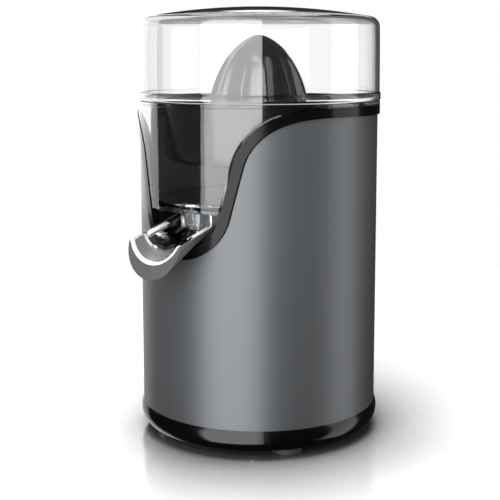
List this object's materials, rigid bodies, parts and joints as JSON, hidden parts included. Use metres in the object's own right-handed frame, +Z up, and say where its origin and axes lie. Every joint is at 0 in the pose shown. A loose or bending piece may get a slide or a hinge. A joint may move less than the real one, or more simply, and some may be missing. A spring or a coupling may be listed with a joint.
{
  "type": "citrus press juicer",
  "caption": "Electric citrus press: steel drum body, clear bowl and domed cover, ribbed cone over a strainer, tilting spout.",
  "frame": {"origin": "on the drum's axis, at the underside of the feet, which is the centre of the four feet", "axes": "+Z up along the drum's axis, -Y towards the spout, +X to the right when seen from the spout's back"},
  "size_m": [0.1418, 0.1665, 0.2469],
  "materials": {
    "steel_shell": "satin gunmetal metallic coat",
    "trim_collar": "gloss black",
    "base_ring": "gloss black",
    "base_plate": "matt black",
    "rubber_feet": "matt black",
    "cord_gland": "matt black",
    "inner_deck": "satin black",
    "lower_spacers": "turned",
    "gearbox_spacers": "turned",
    "deck_spacers": "turned",
    "base_screws": "zinc plated",
    "frame_screws": "zinc plated",
    "gear_plate": "sheet steel",
    "top_plate": "sheet steel",
    "gear_bush": "sintered bronze",
    "lower_shaft_bush": "sintered bronze",
    "upper_shaft_bush": "sintered bronze",
    "shaft_seal": "matt",
    "idler_axle": "ground steel",
    "press_spring": "spring wire",
    "output_gear": "natural acetal",
    "idler_gear": "natural acetal",
    "drive_shaft": "ground steel",
    "spring_washer": "plated",
    "motor_can": "zinc plated",
    "motor_end_cap": "matt black",
    "motor_magnets": "ferrite",
    "motor_screws": "zinc plated",
    "motor_shaft": "ground steel",
    "rotor_core": "laminations and winding",
    "motor_pinion": "cut",
    "switch_body": "matt black",
    "switch_button": "red",
    "switch_bracket": "folded sheet",
    "circuit_board": "laminate",
    "spout_shell": "satin gunmetal paint",
    "spout_liner": "bright",
    "spout_hinge_pins": "ground steel",
    "juice_bowl": "clear plastic",
    "strainer_basket": "gloss black",
    "glide_ring": "natural acetal",
    "juicing_cone": "satin dark grey",
    "dust_cover": "clear plastic"
  },
  "bodies": {
    "housing": {"steel_shell": "steel_shell", "trim_collar": "trim_collar", "base_ring": "base_ring", "base_plate": "base_plate", "rubber_feet": "rubber_feet", "cord_gland": "cord_gland", "inner_deck": "inner_deck", "lower_spacers": "lower_spacers", "gearbox_spacers": "gearbox_spacers", "deck_spacers": "deck_spacers", "base_screws": "base_screws", "frame_screws": "frame_screws", "gear_plate": "gear_plate", "top_plate": "top_plate", "gear_bush": "gear_bush", "lower_shaft_bush": "lower_shaft_bush", "upper_shaft_bush": "upper_shaft_bush", "shaft_seal": "shaft_seal", "idler_axle": "idler_axle", "press_spring": "press_spring", "motor_can": "motor_can", "motor_end_cap": "motor_end_cap", "motor_magnets": "motor_magnets", "motor_screws": "motor_screws", "switch_body": "switch_body", "switch_bracket": "switch_bracket", "circuit_board": "circuit_board", "spout_hinge_pins": "spout_hinge_pins"},
    "output_gear": {"output_gear": "output_gear"},
    "drive_shaft": {"drive_shaft": "drive_shaft", "spring_washer": "spring_washer"},
    "idler": {"idler_gear": "idler_gear"},
    "motor_rotor": {"motor_shaft": "motor_shaft", "rotor_core": "rotor_core", "motor_pinion": "motor_pinion"},
    "switch_button": {"switch_button": "switch_button"},
    "spout": {"spout_shell": "spout_shell", "spout_liner": "spout_liner"},
    "bowl": {"juice_bowl": "juice_bowl"},
    "basket": {"strainer_basket": "strainer_basket"},
    "cone_seat": {"glide_ring": "glide_ring"},
    "cone": {"juicing_cone": "juicing_cone"},
    "cover": {"dust_cover": "dust_cover"}
  },
  "joints": [
    {"name": "drive_spin", "type": "hinge", "parent": "housing", "child": "output_gear", "pos_m": [0, 0, 0.1], "axis": [0, 0, 1], "continuous": true},
    {"name": "shaft_press", "type": "slide", "parent": "output_gear", "child": "drive_shaft", "axis": [0, 0, 1], "range_m": [-0.0025, 0], "stiffness_N_per_m": 2000, "springref_m": 0.003, "deforming": ["press_spring"]},
    {"name": "idler_spin", "type": "hinge", "parent": "housing", "child": "idler", "pos_m": [0, 0.0288, 0.1], "axis": [0, 0, 1], "continuous": true},
    {"name": "motor_spin", "type": "hinge", "parent": "housing", "child": "motor_rotor", "pos_m": [-0.02078, 0.0168, 0.05], "axis": [0, 0, 1], "continuous": true},
    {"name": "button_press", "type": "slide", "parent": "housing", "child": "switch_button", "axis": [0, 0, 1], "range_m": [-0.0025, 0]},
    {"name": "spout_tilt", "type": "hinge", "parent": "housing", "child": "spout", "pos_m": [0, -0.056, 0.12], "axis": [-1, 0, 0], "range_deg": [0, 30]},
    {"name": "bowl_lift", "type": "slide", "parent": "housing", "child": "bowl", "axis": [0, 0, 1], "range_m": [0, 0.09]},
    {"name": "basket_lift", "type": "slide", "parent": "bowl", "child": "basket", "axis": [0, 0, 1], "range_m": [0, 0.06]},
    {"name": "cover_lift", "type": "slide", "parent": "basket", "child": "cover", "axis": [0, 0, 1], "range_m": [0, 0.07]},
    {"name": "cone_press", "type": "slide", "parent": "basket", "child": "cone_seat", "axis": [0, 0, 1], "range_m": [-0.0025, 0]},
    {"name": "cone_spin", "type": "hinge", "parent": "cone_seat", "child": "cone", "pos_m": [0, 0, 0.17], "axis": [0, 0, 1], "continuous": true}
  ],
  "couplings": [
    {"joint": "idler_spin", "follows": "drive_spin", "ratio": -5},
    {"joint": "motor_spin", "follows": "drive_spin", "ratio": 20},
    {"joint": "cone_spin", "follows": "drive_spin", "ratio": 1},
    {"joint": "button_press", "follows": "shaft_press", "ratio": 1},
    {"joint": "cone_press", "follows": "shaft_press", "ratio": 1}
  ]
}
